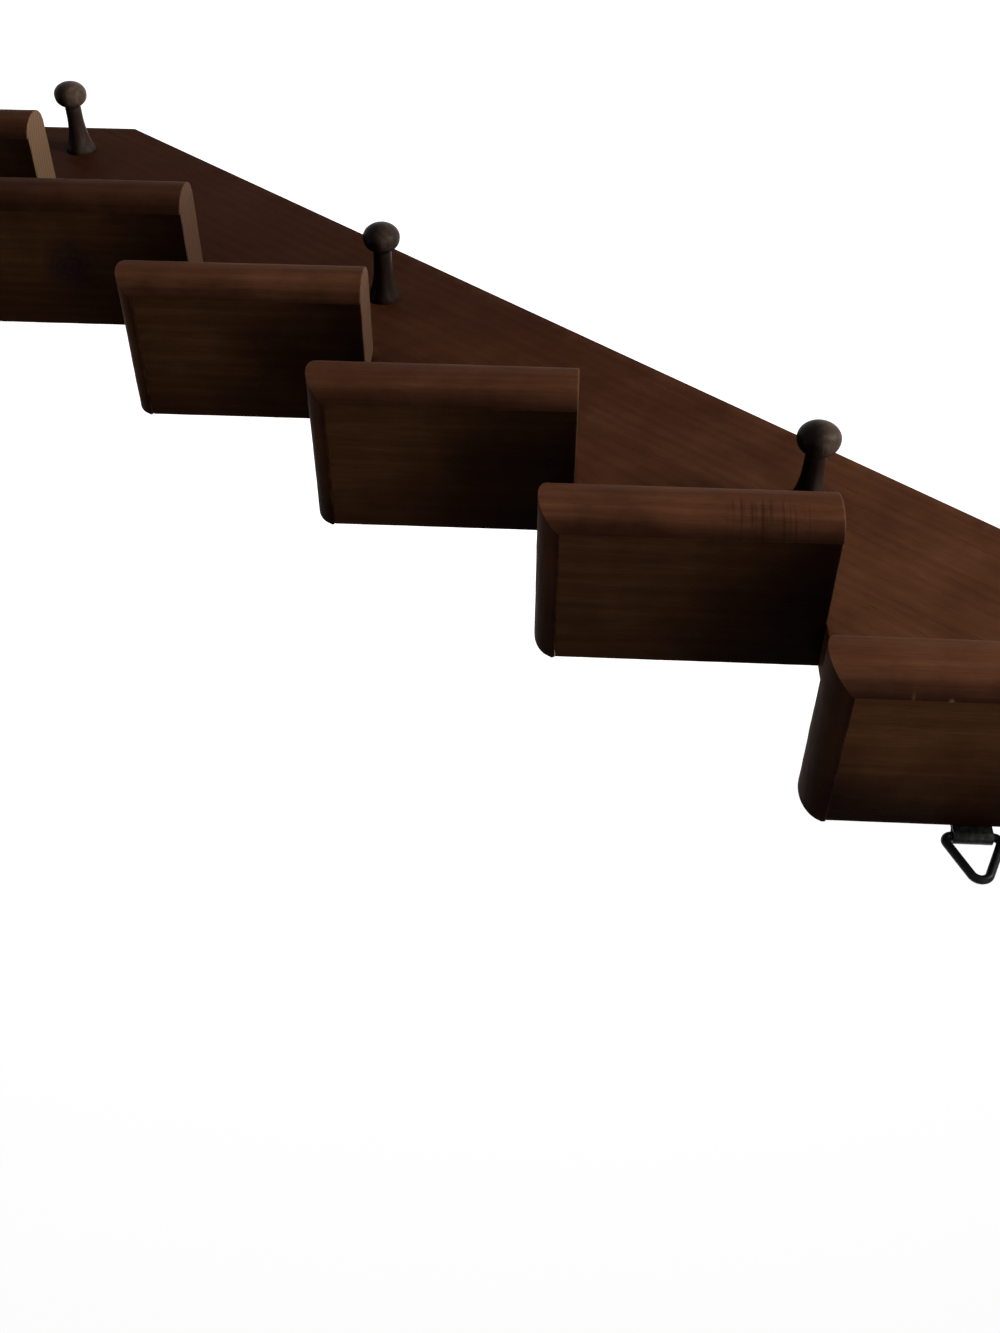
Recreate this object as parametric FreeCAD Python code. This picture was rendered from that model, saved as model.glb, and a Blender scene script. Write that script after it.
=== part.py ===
import FreeCAD, Part
import math
import os

# Wall shelf in the form of a small open staircase, millimetres, +Z up.
# The wall is the plane Y = 0 and the shelf stands out of it towards -Y.
# Seen from the front the stairs climb to the left, towards -X.
# The origin is on the back face of the stringer, half way across its band
# and level with the seat of the middle step.

# Staircase
tread_count = 6
middle_step = 3
run = 83.2
rise = 67.3
overhang = 12.3

# Stringer, a sawtooth board with one straight slanting edge
stringer_thickness = 19.0
band_level_width = 105.7
stringer_edge_round = 1.2

# Tread panels
panel_thickness = 22.6
tread_depth = 60.5
panel_arris = 0.5

# Nosings, glued strips with a half-elliptic face, a little prouder than the panel
nosing_projection = 7.2
nosing_proud = 1.2
nosing_back_round = 0.6

# Dowels, two under each panel
dowel_diameter = 6.0
dowel_in_panel = 12.0
dowel_in_stringer = 16.0
dowel_end_room = 0.5
dowel_end_chamfer = 0.6
glue_gap = 0.05
dowel_place_shares = (0.2, 0.8)

# Turned pegs along the middle of the band
peg_count = 3
peg_steps_apart = 2
first_peg_height = 24.7
peg_head_diameter = 15.5
peg_head_height = 10.4
peg_neck_diameter = 7.6
peg_base_diameter = 14.4
peg_base_rim = 0.8
peg_length = 33.4
peg_tenon_diameter = 6.4
peg_tenon_length = 11.5
peg_tenon_chamfer = 0.7
peg_bore_room = 0.5
peg_neck_straight = 1.6
peg_flare_share = 0.3
peg_head_belly_share = 0.46
quarter_round_share = 0.552

# Ring hangers, one on the back edge of the top panel and one on the lowest
wire_diameter = 2.8
ring_width = 19.2
ring_height = 19.0
ring_foot_radius = 2.0
ring_tip_radius = 3.0
hinge_gap = 0.08
strap_sheet = 0.9
strap_width = 12.0
strap_tail = 5.4
strap_corner = 3.0
hinge_above_panel = 2.0

# Hanger screws, pan heads
screw_diameter = 3.0
screw_length = 12.0
screw_tip = 2.4
screw_head_diameter = 5.6
screw_head_height = 1.9
screw_head_crown = 0.7
screw_hole_room = 0.2
recess_width = 0.7
recess_span = 3.2
recess_depth = 1.0

# Common overrun of a cutting tool
overrun = 2.0

tread_length = run + overhang
panel_length = tread_length - nosing_projection
panel_depth = tread_depth - nosing_projection
nosing_thickness = panel_thickness + nosing_proud
band_half = band_level_width / 2
slope = run / rise
X_AXIS = FreeCAD.Vector(1, 0, 0)
Y_AXIS = FreeCAD.Vector(0, 1, 0)
Z_AXIS = FreeCAD.Vector(0, 0, 1)


def vec(x, y, z):
    return FreeCAD.Vector(x, y, z)


def seat_level(step):
    """Height of the seat that carries a tread, counted from 1 at the foot."""
    return (step - middle_step) * rise


def seat_inner(step):
    """X of the inner corner of a seat, where the next riser starts."""
    return band_half - (step - middle_step) * run


def slanted_edge(z):
    """X of the stringer's straight edge at a height."""
    return -band_half - slope * z


def polygon(points):
    return Part.Face(Part.makePolygon(points + points[:1]))


def box(x_from, x_to, y_from, y_to, z_from, z_to):
    size = (x_to - x_from, y_to - y_from, z_to - z_from)
    return Part.makeBox(*size, vec(x_from, y_from, z_from))


def export(shape, name):
    shape.exportStep(f"parts/{name}.step")


def peg_places():
    """Centres of the pegs on the band, as (x, z)."""
    foot = seat_level(0)
    heights = [foot + first_peg_height + n * peg_steps_apart * rise for n in range(peg_count)]
    return [(-slope * z, z) for z in heights]


def dowel_places(step):
    """X of the two dowels on a seat."""
    return [seat_inner(step) + share * run for share in dowel_place_shares]


def make_stringer():
    """Sawtooth board with blind bores for the dowels and the pegs."""
    foot = seat_level(0)
    points = [vec(slanted_edge(foot), 0, foot), vec(seat_inner(0), 0, foot)]
    for step in range(1, tread_count + 1):
        points.append(vec(seat_inner(step - 1), 0, seat_level(step)))
        points.append(vec(seat_inner(step), 0, seat_level(step)))
    top_x = seat_inner(tread_count)
    points.append(vec(top_x, 0, -(top_x + band_half) / slope))
    board = polygon(points).extrude(vec(0, -stringer_thickness, 0))

    def on_slanted_edge(edge):
        along = edge.BoundBox
        middle = edge.CenterOfMass
        slanted = along.XLength > stringer_thickness and along.ZLength > stringer_thickness
        return slanted and middle.y < -stringer_thickness / 2

    front = [edge for edge in board.Edges if on_slanted_edge(edge)]
    board = board.makeFillet(stringer_edge_round, front)

    bores = []
    peg_radius = peg_tenon_diameter / 2 + glue_gap
    peg_depth = peg_tenon_length + peg_bore_room
    for x, z in peg_places():
        start = vec(x, -stringer_thickness - overrun, z)
        bores.append(Part.makeCylinder(peg_radius, peg_depth + overrun, start, Y_AXIS))
    dowel_radius = dowel_diameter / 2 + glue_gap
    for step in range(1, tread_count + 1):
        for x in dowel_places(step):
            low = seat_level(step) - dowel_in_stringer - dowel_end_room
            start = vec(x, -stringer_thickness / 2, low)
            length = dowel_in_stringer + dowel_end_room + overrun
            bores.append(Part.makeCylinder(dowel_radius, length, start, Z_AXIS))
    return board.cut(bores)


def make_panel(step):
    """Flat tread board with two blind dowel bores, and a pilot hole where a hanger goes."""
    inner, level = seat_inner(step), seat_level(step)
    panel = box(inner, inner + panel_length, -panel_depth, 0, level, level + panel_thickness)
    top = level + panel_thickness

    def is_worn(edge):
        middle = edge.CenterOfMass
        at_top = abs(middle.z - top) < panel_arris
        return at_top and abs(middle.x - inner) < panel_arris

    panel = panel.makeFillet(panel_arris, [edge for edge in panel.Edges if is_worn(edge)])
    radius = dowel_diameter / 2 + glue_gap
    bores = []
    for x in dowel_places(step):
        start = vec(x, -stringer_thickness / 2, level - overrun)
        length = overrun + dowel_in_panel + dowel_end_room
        bores.append(Part.makeCylinder(radius, length, start, Z_AXIS))
    if step in (1, tread_count):
        x, z = screw_place(step)
        in_wood = screw_length - 2 * strap_sheet
        depth = in_wood + dowel_end_room + overrun
        pilot = Part.makeCylinder(screw_diameter / 2 + glue_gap, depth, vec(x, overrun, z), -Y_AXIS)
        bores.append(pilot)
    return panel.cut(bores)


def nosing_section(level):
    """Half-elliptic section in the YZ plane: flat back on Y = 0, round face towards -Y."""
    half = nosing_thickness / 2
    centre = vec(0, 0, level + half)
    bottom, top = vec(0, 0, level), vec(0, 0, level + nosing_thickness)
    tip = vec(0, -nosing_projection, level + half)
    if half > nosing_projection:
        ellipse = Part.Ellipse(top, tip, centre)
    else:
        ellipse = Part.Ellipse(tip, top, centre)
    first, last = ellipse.parameter(bottom), ellipse.parameter(top)
    face = ellipse.toShape(first, last)
    if face.BoundBox.YMin > -nosing_projection / 2:
        face = ellipse.toShape(last, first)
    return Part.Face(Part.Wire([face, Part.makeLine(face.lastVertex().Point, face.firstVertex().Point)]))


def nosing_strip(level, length):
    """Straight strip along +X, its upper back arris eased."""
    strip = nosing_section(level).extrude(vec(length, 0, 0))
    top = level + nosing_thickness

    def is_back_arris(edge):
        middle = edge.CenterOfMass
        along = edge.BoundBox.XLength > length / 2
        return along and abs(middle.z - top) < nosing_back_round and abs(middle.y) < nosing_back_round

    return strip.makeFillet(nosing_back_round, [edge for edge in strip.Edges if is_back_arris(edge)])


def mitre_tool(third, inner, outer, level):
    """Upright triangle that trims one strip along the mitre line."""
    low, high = level - overrun, nosing_thickness + 2 * overrun
    corners = [vec(x, y, low) for x, y in (inner, outer, third)]
    return polygon(corners).extrude(vec(0, 0, high))


def nosing_mitre(step):
    """Plan points of the mitre: its inner and outer ends, each run on past the corner."""
    x_in, x_out = seat_inner(step) + panel_length, seat_inner(step) + tread_length
    inner = (x_in - overrun, -panel_depth + overrun)
    outer = (x_out + overrun, -tread_depth - overrun)
    return inner, outer


def make_front_nosing(step):
    """Strip along the front of a panel, mitred at the free corner."""
    inner_x, level = seat_inner(step), seat_level(step)
    strip = nosing_strip(level, tread_length)
    strip.translate(vec(inner_x, -panel_depth, 0))
    inner, outer = nosing_mitre(step)
    return strip.cut(mitre_tool((outer[0], inner[1]), inner, outer, level))


def make_return_nosing(step):
    """Strip across the free end of a panel, mitred to the front strip."""
    inner_x, level = seat_inner(step), seat_level(step)
    strip = nosing_strip(level, tread_depth)
    strip.rotate(vec(0, 0, 0), Z_AXIS, 90)
    strip.translate(vec(inner_x + panel_length, -tread_depth, 0))
    inner, outer = nosing_mitre(step)
    return strip.cut(mitre_tool((inner[0], outer[1]), inner, outer, level))


def make_dowels():
    """All the tread dowels, each standing half in the stringer and half in a panel."""
    pins = []
    length = dowel_in_stringer + dowel_in_panel
    for step in range(1, tread_count + 1):
        for x in dowel_places(step):
            start = vec(x, -stringer_thickness / 2, seat_level(step) - dowel_in_stringer)
            pin = Part.makeCylinder(dowel_diameter / 2, length, start, Z_AXIS)
            ends = [edge for edge in pin.Edges if len(edge.Vertexes) == 1]
            pins.append(pin.makeChamfer(dowel_end_chamfer, ends))
    return Part.makeCompound(pins)


def bend(*poles):
    """Smooth edge in the XZ plane, drawn by (radius, height) poles."""
    curve = Part.BezierCurve()
    curve.setPoles([vec(radius, 0, height) for radius, height in poles])
    return curve.toShape()


def make_peg(x, z):
    """Turned peg: flared base, waisted neck, oblate head, and a tenon in the board."""
    base, neck = peg_base_diameter / 2, peg_neck_diameter / 2
    head, tenon = peg_head_diameter / 2, peg_tenon_diameter / 2
    neck_height = peg_length - peg_head_height - peg_neck_straight
    head_foot = peg_length - peg_head_height
    belly = head_foot + peg_head_belly_share * peg_head_height
    flare = peg_base_rim + peg_flare_share * neck_height
    crown = peg_length - belly
    low, chamfer_top = -peg_tenon_length, -peg_tenon_length + peg_tenon_chamfer
    tip = tenon - peg_tenon_chamfer
    edges = [
        Part.makeLine(vec(0, 0, low), vec(tip, 0, low)),
        Part.makeLine(vec(tip, 0, low), vec(tenon, 0, chamfer_top)),
        Part.makeLine(vec(tenon, 0, chamfer_top), vec(tenon, 0, 0)),
        Part.makeLine(vec(tenon, 0, 0), vec(base, 0, 0)),
        Part.makeLine(vec(base, 0, 0), vec(base, 0, peg_base_rim)),
        bend((base, peg_base_rim), (neck, flare), (neck, neck_height - flare), (neck, neck_height)),
        bend((neck, neck_height), (neck, head_foot), (head, head_foot), (head, belly)),
        bend(
            (head, belly),
            (head, belly + quarter_round_share * crown),
            (quarter_round_share * head, peg_length),
            (0, peg_length),
        ),
        Part.makeLine(vec(0, 0, peg_length), vec(0, 0, low)),
    ]
    peg = Part.Face(Part.Wire(edges)).revolve(vec(0, 0, 0), Z_AXIS, 360)
    peg.rotate(vec(0, 0, 0), X_AXIS, 90)
    peg.translate(vec(x, -stringer_thickness, z))
    return peg


def hinge_place(step):
    """Centre of a hanger's hinge: behind the wall plane, above the panel, half way along it."""
    loop_radius = wire_diameter / 2 + hinge_gap + strap_sheet
    x = seat_inner(step) + panel_length / 2
    return vec(x, loop_radius, seat_level(step) + panel_thickness + hinge_above_panel)


def screw_place(step):
    """Centre of a hanger screw on the back edge of a panel, as (x, z)."""
    return hinge_place(step).x, seat_level(step) + panel_thickness / 2


def make_strap(step):
    """Sheet strip folded double round the ring's wire, with one screw hole."""
    hinge = hinge_place(step)
    x, screw_z = screw_place(step)
    bore = wire_diameter / 2 + hinge_gap
    sides = (x - strap_width / 2, x + strap_width / 2)
    tail = box(*sides, 0, 2 * strap_sheet, screw_z - strap_tail, hinge.z)

    def is_low_corner(edge):
        along = edge.BoundBox
        return along.ZMax < screw_z and along.XLength < strap_sheet < along.YLength

    tail = tail.makeFillet(strap_corner, [edge for edge in tail.Edges if is_low_corner(edge)])
    start = vec(sides[0], hinge.y, hinge.z)
    loop = Part.makeCylinder(bore + strap_sheet, strap_width, start, X_AXIS)
    through = Part.makeCylinder(bore, strap_width + 2 * overrun, start - overrun * X_AXIS, X_AXIS)
    hole_radius = screw_diameter / 2 + screw_hole_room
    hole_length = 2 * strap_sheet + 2 * overrun
    hole = Part.makeCylinder(hole_radius, hole_length, vec(x, -overrun, screw_z), Y_AXIS)
    return tail.fuse(loop).cut([through, hole]).removeSplitter()


def ring_path():
    """Closed wire in the XZ plane round three circles: two feet on a level bar, and a tip above."""
    half_wire = wire_diameter / 2
    foot_x = ring_width / 2 - half_wire - ring_foot_radius
    tip_z = ring_height - wire_diameter - ring_tip_radius
    circles = [
        (vec(-foot_x, 0, ring_foot_radius), ring_foot_radius),
        (vec(foot_x, 0, ring_foot_radius), ring_foot_radius),
        (vec(0, 0, tip_z), ring_tip_radius),
    ]
    outward = []
    for n, (centre, radius) in enumerate(circles):
        next_centre, next_radius = circles[(n + 1) % len(circles)]
        gap = next_centre - centre
        lean = (radius - next_radius) / gap.Length
        ahead = FreeCAD.Vector(gap).normalize()
        beside = vec(ahead.z, 0, -ahead.x)
        outward.append(ahead * lean + beside * math.sqrt(1 - lean * lean))
    edges = []
    for n, (centre, radius) in enumerate(circles):
        next_centre, next_radius = circles[(n + 1) % len(circles)]
        edges.append(Part.makeLine(centre + outward[n] * radius, next_centre + outward[n] * next_radius))
        after = outward[(n + 1) % len(circles)]
        middle = (outward[n] + after).normalize()
        corner = [next_centre + way * next_radius for way in (outward[n], middle, after)]
        edges.append(Part.Arc(*corner).toShape())
    return Part.Wire(edges)


def make_ring(step):
    """Bent wire ring whose level bar turns in the strap's fold."""
    path = ring_path()
    start = path.Edges[0].Vertexes[0].Point
    section = Part.Wire(Part.makeCircle(wire_diameter / 2, start, X_AXIS))
    ring = path.makePipeShell([section], True, True)
    ring.translate(hinge_place(step))
    return ring


def make_screw(step):
    """Pan head screw through a strap into the back edge of a panel."""
    x, z = screw_place(step)
    seat = 2 * strap_sheet
    radius, head = screw_diameter / 2, screw_head_diameter / 2
    crown_base = seat + screw_head_height - screw_head_crown
    head_top = seat + screw_head_height
    tip = seat - screw_length
    crown = Part.Ellipse(vec(head, crown_base, 0), vec(0, head_top, 0), vec(0, crown_base, 0))
    profile = [
        Part.makeLine(vec(0, tip, 0), vec(radius, tip + screw_tip, 0)),
        Part.makeLine(vec(radius, tip + screw_tip, 0), vec(radius, seat, 0)),
        Part.makeLine(vec(radius, seat, 0), vec(head, seat, 0)),
        Part.makeLine(vec(head, seat, 0), vec(head, crown_base, 0)),
        crown.toShape(0, math.pi / 2),
        Part.makeLine(vec(0, head_top, 0), vec(0, tip, 0)),
    ]
    screw = Part.Face(Part.Wire(profile)).revolve(vec(0, 0, 0), Y_AXIS, 360)
    half_span, half_width = recess_span / 2, recess_width / 2
    floor, roof = head_top - recess_depth, head_top + overrun
    cross = [
        box(-half_span, half_span, floor, roof, -half_width, half_width),
        box(-half_width, half_width, floor, roof, -half_span, half_span),
    ]
    screw = screw.cut(cross)
    screw.translate(vec(x, 0, z))
    return screw


def main():
    os.makedirs("parts", exist_ok=True)
    export(make_stringer(), "stringer")
    for step in range(1, tread_count + 1):
        export(make_panel(step), f"tread_panel_{step}")
        export(make_front_nosing(step), f"front_nosing_{step}")
        export(make_return_nosing(step), f"return_nosing_{step}")
    export(make_dowels(), "tread_dowels")
    for number, (x, z) in enumerate(peg_places(), start=1):
        export(make_peg(x, z), f"peg_{number}")
    for step, place in ((1, "lower"), (tread_count, "upper")):
        export(make_strap(step), f"{place}_hanger_strap")
        export(make_ring(step), f"{place}_hanger_ring")
    export(Part.makeCompound([make_screw(1), make_screw(tread_count)]), "hanger_screws")


main()
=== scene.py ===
"""Looks of a wall shelf in the form of a small open staircase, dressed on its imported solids."""
import logging
import math
from dataclasses import dataclass, field, replace
from enum import Enum, IntEnum
from functools import partial
from typing import Any, Callable, Sequence

import bmesh
import bpy
from bpy.types import Material, NodeSocket as Socket, Object
from mathutils import Matrix, Vector
from mathutils.geometry import interpolate_bezier


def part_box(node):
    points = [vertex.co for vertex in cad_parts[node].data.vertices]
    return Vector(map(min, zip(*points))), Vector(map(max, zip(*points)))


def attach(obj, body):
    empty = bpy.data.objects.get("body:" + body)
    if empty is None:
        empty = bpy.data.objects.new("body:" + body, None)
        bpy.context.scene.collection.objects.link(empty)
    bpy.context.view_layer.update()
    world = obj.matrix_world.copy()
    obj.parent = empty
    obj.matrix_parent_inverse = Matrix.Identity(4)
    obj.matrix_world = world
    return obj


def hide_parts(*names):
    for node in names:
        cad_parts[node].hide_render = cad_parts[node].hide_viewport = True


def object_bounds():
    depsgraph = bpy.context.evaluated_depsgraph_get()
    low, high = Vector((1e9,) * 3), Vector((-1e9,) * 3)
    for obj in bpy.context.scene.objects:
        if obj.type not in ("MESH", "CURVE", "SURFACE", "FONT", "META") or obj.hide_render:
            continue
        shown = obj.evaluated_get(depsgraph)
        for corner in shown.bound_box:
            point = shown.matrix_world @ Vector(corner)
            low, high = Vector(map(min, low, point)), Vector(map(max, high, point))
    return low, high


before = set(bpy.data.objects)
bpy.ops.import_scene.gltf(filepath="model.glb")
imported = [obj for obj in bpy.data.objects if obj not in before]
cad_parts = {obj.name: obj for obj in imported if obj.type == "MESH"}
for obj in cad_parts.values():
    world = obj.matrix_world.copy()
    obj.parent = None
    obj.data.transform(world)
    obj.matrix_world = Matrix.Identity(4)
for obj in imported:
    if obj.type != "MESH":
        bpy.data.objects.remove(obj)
CAD_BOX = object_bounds()

MM = 0.001
# Slack of a test on a place, and the distance at which two points become one, in metres
NEAR = 0.01 * MM
DOUBLES = 0.002 * MM
# How far a drill runs past the face that it enters, in millimetres, and how round it is
OVERRUN = 2.0
DRILL_SIDES = 32
# Facets of a rounded edge
ROUND_STEPS = 4
# Fold between two faces that counts as a sharp edge
SHARP = math.radians(30)
# Period of a wave texture at scale 1
WAVE = 0.314

log = logging.getLogger("stair_shelf")

Point = tuple[float, float, float]
Profile = list[tuple[float, float]]
AddNode = Callable[..., Socket]


# Setting-out

class Axis(IntEnum):
    """Axes of the shared frame."""

    X = 0
    Y = 1
    Z = 2


@dataclass(frozen=True)
class Stair:
    """Setting-out of the staircase in millimetres, as the solids have it."""

    steps: int = 6
    middle: int = 3  # Step whose seat lies at height 0
    run: float = 83.2
    rise: float = 67.3
    band: float = 105.7  # Level width of the board's band
    tread_length: float = 95.5  # Length of a tread with its return strip
    tread_depth: float = 60.5  # Depth of a tread with its front strip
    tread_thickness: float = 22.6
    projection: float = 7.2  # Width of a strip
    proud: float = 1.2  # How much a strip is thicker than the panel
    board: float = 19.0  # Thickness of the board
    dowel: float = 3.05  # Radius of a dowel's bore
    dowel_shares: tuple[float, float] = (0.2, 0.8)  # Places of the dowels, as shares of the run
    pegs: int = 3
    peg_steps: int = 2  # Steps from peg to peg
    first_peg: float = 24.7  # Height of the first peg over the board's foot

    @property
    def panel_length(self) -> float:
        """Length of a panel, up to its return strip."""
        return self.tread_length - self.projection

    @property
    def panel_depth(self) -> float:
        """Depth of a panel, up to its front strip."""
        return self.tread_depth - self.projection

    def inner(self, step: int) -> float:
        """X of the inner corner of a seat."""
        return self.band / 2 - (step - self.middle) * self.run

    def seat(self, step: int) -> float:
        """Height of the seat of a tread."""
        return (step - self.middle) * self.rise

    def top(self, step: int) -> float:
        """Height of a panel's upper face."""
        return self.seat(step) + self.tread_thickness

    def edge(self, z: float) -> float:
        """X of the board's straight edge at a height."""
        return -self.band / 2 - self.run / self.rise * z

    def dowel_places(self, step: int) -> list[float]:
        """X of the two dowels on a seat."""
        return [self.inner(step) + share * self.run for share in self.dowel_shares]

    def peg_places(self) -> list[tuple[float, float]]:
        """X and Z of the pegs on the middle line of the band."""
        heights = [self.seat(self.peg_steps * n) + self.first_peg for n in range(self.pegs)]
        return [(-self.run / self.rise * z, z) for z in heights]


# Small helpers

def mm(*values: float) -> Vector:
    """Vector in metres from lengths in millimetres."""
    return Vector(values) * MM


def linear(code: str) -> tuple[float, float, float, float]:
    """Turns an sRGB hex colour into linear red, green, blue and alpha.

    Args:
        code: Colour such as "#4a2a18".

    Returns:
        Linear colour with full alpha.
    """
    parts = [int(code[n:n + 2], 16) / 255 for n in (1, 3, 5)]
    bent = [c / 12.92 if c <= 0.04045 else ((c + 0.055) / 1.055) ** 2.4 for c in parts]
    return bent[0], bent[1], bent[2], 1.0


def add(tree: bpy.types.NodeTree, kind: str, inputs: dict[Any, Any] | None = None, out: int | str = 0,
        stops: Sequence[tuple[float, str]] = (), **settings: Any) -> Socket | None:
    """Adds a shader node with its settings and links.

    Args:
        tree: Node tree that gets the node.
        kind: Node type, without the prefix that all shader nodes have.
        inputs: Socket name or number, with a constant or the socket that feeds it.
        out: Name or number of the output that is wanted.
        stops: Places and hex colours of a colour ramp.
        **settings: Properties of the node.

    Returns:
        The wanted output, or None for a node that has none.
    """
    made = tree.nodes.new(f"ShaderNode{kind}")
    for key, value in settings.items():
        setattr(made, key, value)
    for key, value in (inputs or {}).items():
        if isinstance(value, Socket):
            tree.links.new(value, made.inputs[key])
        else:
            made.inputs[key].default_value = value
    for number, (place, code) in enumerate(stops):
        ends = made.color_ramp.elements
        stop = ends[number] if number < 2 else ends.new(place)
        stop.position = place
        stop.color = linear(code)
    return made.outputs[out] if made.outputs else None


def start_finish(name: str) -> tuple[Material, AddNode]:
    """Starts an empty material.

    Args:
        name: Name of the material.

    Returns:
        The material, and the function that adds nodes to it.
    """
    made = bpy.data.materials.new(name)
    made.use_nodes = True
    made.node_tree.nodes.clear()
    return made, partial(add, made.node_tree)


def to_object_mode() -> None:
    """Leaves edit mode and deselects everything."""
    if bpy.context.mode != "OBJECT":
        bpy.ops.object.mode_set(mode="OBJECT")
    bpy.ops.object.select_all(action="DESELECT")


def take_up(piece: Object) -> None:
    """Makes a piece the active one and the only one selected.

    Args:
        piece: The piece.
    """
    to_object_mode()
    piece.select_set(True)
    bpy.context.view_layer.objects.active = piece


def open_mesh(piece: Object) -> None:
    """Takes up a piece and opens it in edit mode."""
    take_up(piece)
    bpy.ops.object.mode_set(mode="EDIT")


def name_piece(name: str) -> Object:
    """Names the new primitive and puts its place into its mesh.

    Args:
        name: Name of the piece and of its mesh.

    Returns:
        The piece.
    """
    piece = bpy.context.object
    piece.name = name
    piece.data.name = name
    bpy.ops.object.transform_apply(location=True, rotation=True, scale=True)
    return piece


def add_block(name: str, middle: Vector, size: Vector) -> Object:
    """Adds a block.

    Args:
        name: Name of the piece.
        middle: Its middle, in metres.
        size: Its length, depth and height, in metres.

    Returns:
        The block.
    """
    to_object_mode()
    bpy.ops.mesh.primitive_cube_add(size=1, location=middle)
    bpy.context.object.scale = size
    return name_piece(name)


def start_line(name: str, points: Sequence[Vector]) -> Object:
    """Draws a line of edges through points, from a plane merged to one vertex.

    Args:
        name: Name of the piece.
        points: Corners of the line, in metres.

    Returns:
        The piece, open in edit mode with its last vertex selected.
    """
    to_object_mode()
    bpy.ops.mesh.primitive_plane_add(size=MM, location=points[0])
    piece = name_piece(name)
    open_mesh(piece)
    bpy.ops.mesh.select_mode(type="VERT")
    bpy.ops.mesh.select_all(action="SELECT")
    bpy.ops.mesh.merge(type="CENTER")
    for here, there in zip(points, points[1:]):
        bpy.ops.mesh.extrude_vertices_move(TRANSFORM_OT_translate={"value": there - here})
    return piece


def pick_edges(test: Callable[[Vector, Vector], bool]) -> None:
    """Selects edges of the open mesh.

    Args:
        test: Test that the two ends of an edge have to pass.
    """
    mesh = bmesh.from_edit_mesh(bpy.context.object.data)
    bpy.ops.mesh.select_all(action="DESELECT")
    bpy.ops.mesh.select_mode(type="EDGE")
    for edge in mesh.edges:
        edge.select = test(edge.verts[0].co, edge.verts[1].co)
    mesh.select_flush_mode()


def pick_verts(test: Callable[[Vector], bool]) -> None:
    """Selects vertices of the open mesh.

    Args:
        test: Test that the place of a vertex has to pass.
    """
    mesh = bmesh.from_edit_mesh(bpy.context.object.data)
    bpy.ops.mesh.select_all(action="DESELECT")
    for vert in mesh.verts:
        vert.select = test(vert.co)
    mesh.select_flush_mode()


def ease(radius: float, steps: int = ROUND_STEPS, clamp: bool = False) -> None:
    """Rounds the selected edges of the open mesh.

    Args:
        radius: Size of the rounding, in millimetres.
        steps: Its facets.
        clamp: Whether it stops where it meets another one.
    """
    bpy.ops.mesh.bevel(offset=radius * MM, segments=steps, affect="EDGES", clamp_overlap=clamp)


def move_all(shift: Vector) -> None:
    """Moves the whole open mesh, in metres."""
    bpy.ops.mesh.select_all(action="SELECT")
    bpy.ops.transform.translate(value=shift)


def extrude_all(shift: Vector) -> None:
    """Extrudes the whole open mesh, in metres."""
    bpy.ops.mesh.select_all(action="SELECT")
    bpy.ops.mesh.extrude_region_move(TRANSFORM_OT_translate={"value": shift})


def turn_all(steps: int, centre: Vector) -> None:
    """Turns the open outline on the lathe, about the Y line through a centre in metres."""
    bpy.ops.mesh.select_all(action="SELECT")
    bpy.ops.mesh.spin(steps=steps, angle=math.tau, center=centre, axis=(0, 1, 0))


def face_outwards() -> None:
    """Turns the faces of the open mesh outwards."""
    bpy.ops.mesh.select_all(action="SELECT")
    bpy.ops.mesh.normals_make_consistent(inside=False)


def merge_doubles() -> None:
    """Makes one point of those that lie together in the open mesh."""
    bpy.ops.mesh.select_all(action="SELECT")
    bpy.ops.mesh.remove_doubles(threshold=DOUBLES)


def close_up(smooth_degrees: float = 32.0) -> None:
    """Merges doubles, turns the faces outwards and shades the open mesh smooth.

    Args:
        smooth_degrees: Fold up to which faces are shaded as one.
    """
    bpy.ops.mesh.select_mode(type="VERT")
    merge_doubles()
    face_outwards()
    bpy.ops.object.mode_set(mode="OBJECT")
    bpy.ops.object.shade_smooth_by_angle(angle=math.radians(smooth_degrees))


def slice_mesh(axis: Axis, low: float, high: float, spacing: float, rim: float) -> None:
    """Cuts the open mesh across one axis, so that its flat faces have points to work with.

    Args:
        axis: Axis that the cuts go across.
        low: Lower end of the mesh, in metres.
        high: Upper end.
        spacing: Wanted distance between cuts, in millimetres.
        rim: Distance of the outermost cuts from the ends, in millimetres.
    """
    normal = [float(n == axis) for n in Axis]
    length = high - low - 2 * rim * MM
    count = max(1, round(length / (spacing * MM)))
    for n in range(count + 1):
        place = low + rim * MM + n * length / count
        bpy.ops.mesh.select_all(action="SELECT")
        bpy.ops.mesh.bisect(plane_co=[place * part for part in normal], plane_no=normal)


def apply(piece: Object, kind: str, **settings: Any) -> None:
    """Adds a modifier to a piece and applies it.

    Args:
        piece: The piece.
        kind: Modifier type.
        **settings: Properties of the modifier.
    """
    take_up(piece)
    modifier = piece.modifiers.new(kind.lower(), kind)
    for key, value in settings.items():
        setattr(modifier, key, value)
    bpy.ops.object.modifier_apply(modifier=modifier.name)


def cut_away(piece: Object, tool: Object) -> None:
    """Takes a tool's shape out of a piece, and the tool out of the scene."""
    apply(piece, "BOOLEAN", operation="DIFFERENCE", object=tool, solver="EXACT")
    bpy.data.objects.remove(tool, do_unlink=True)


def bore(piece: Object, holes: Sequence[tuple[Point, Point, float]]) -> None:
    """Drills round holes into a piece.

    Args:
        piece: The piece.
        holes: Start, end and radius of each hole, in millimetres.
    """
    for start, end, radius in holes:
        way = mm(*end) - mm(*start)
        to_object_mode()
        bpy.ops.mesh.primitive_cylinder_add(
            vertices=DRILL_SIDES, radius=radius * MM, depth=way.length, location=mm(*start) + way / 2,
            rotation=way.to_track_quat("Z", "Y").to_euler())
        cut_away(piece, name_piece("drill"))


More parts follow.
